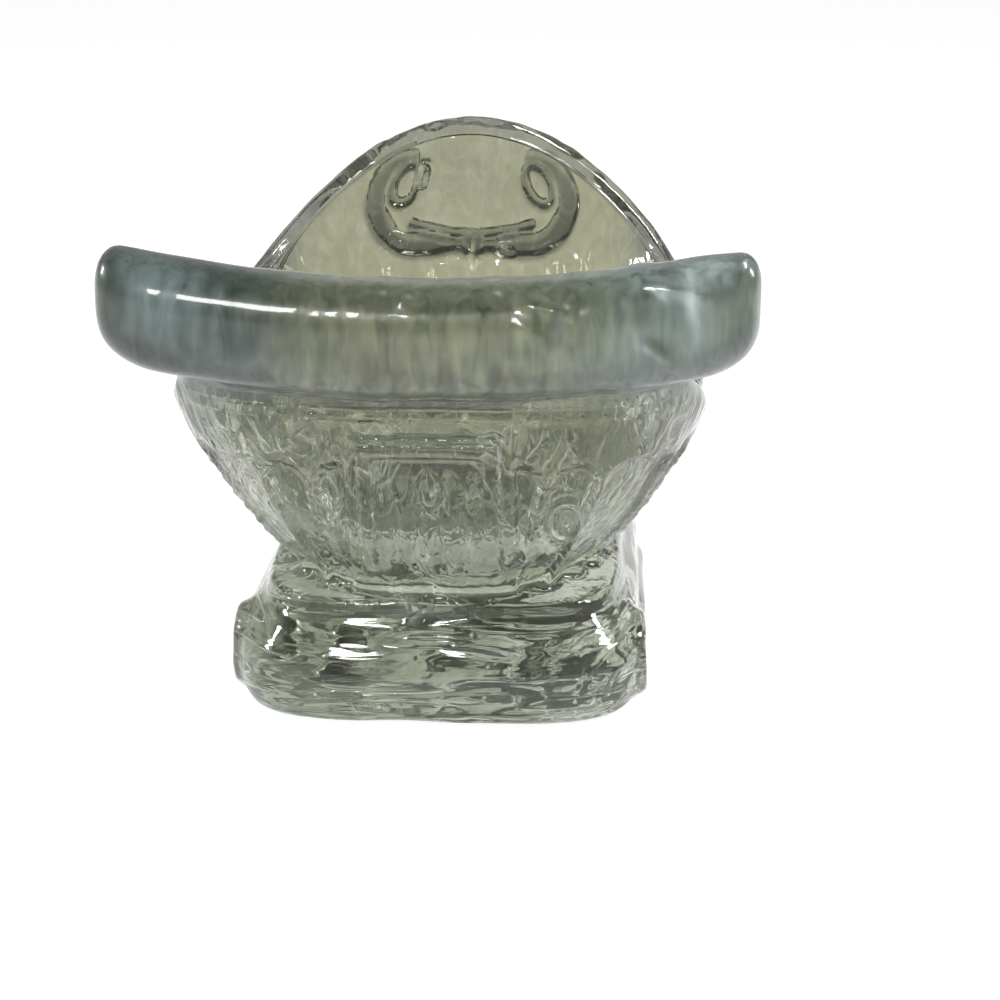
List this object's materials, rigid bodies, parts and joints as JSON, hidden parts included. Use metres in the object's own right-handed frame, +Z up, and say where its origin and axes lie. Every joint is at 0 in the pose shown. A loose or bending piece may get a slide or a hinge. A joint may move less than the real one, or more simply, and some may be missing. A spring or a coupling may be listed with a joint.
{
  "type": "sleigh candy dish",
  "caption": "Open pressed-glass dish shaped like a cutter sleigh, with a rolled dash in front, an arched seat back with scrolls, fluted sides and a solid coved foot.",
  "frame": {"origin": "under the middle of the dish, on the plane that it stands on", "axes": "+Z up, +Y towards the seat back, -Y towards the rolled dash, +X to the sleigh's right seen from the front"},
  "size_m": [0.114, 0.139, 0.0969],
  "materials": {
    "pressed_glass": "thick clear pressed glass with a faint grey-green tint, fire-polished and slightly wavy"
  },
  "bodies": {
    "root": {"tub_body": "pressed_glass", "front_roll": "pressed_glass", "seat_back": "pressed_glass", "foot_block": "pressed_glass", "front_reeded_panel": "pressed_glass", "back_bow": "pressed_glass", "right_runner": "pressed_glass", "right_scroll": "pressed_glass", "left_runner": "pressed_glass", "left_scroll": "pressed_glass"}
  },
  "joints": []
}
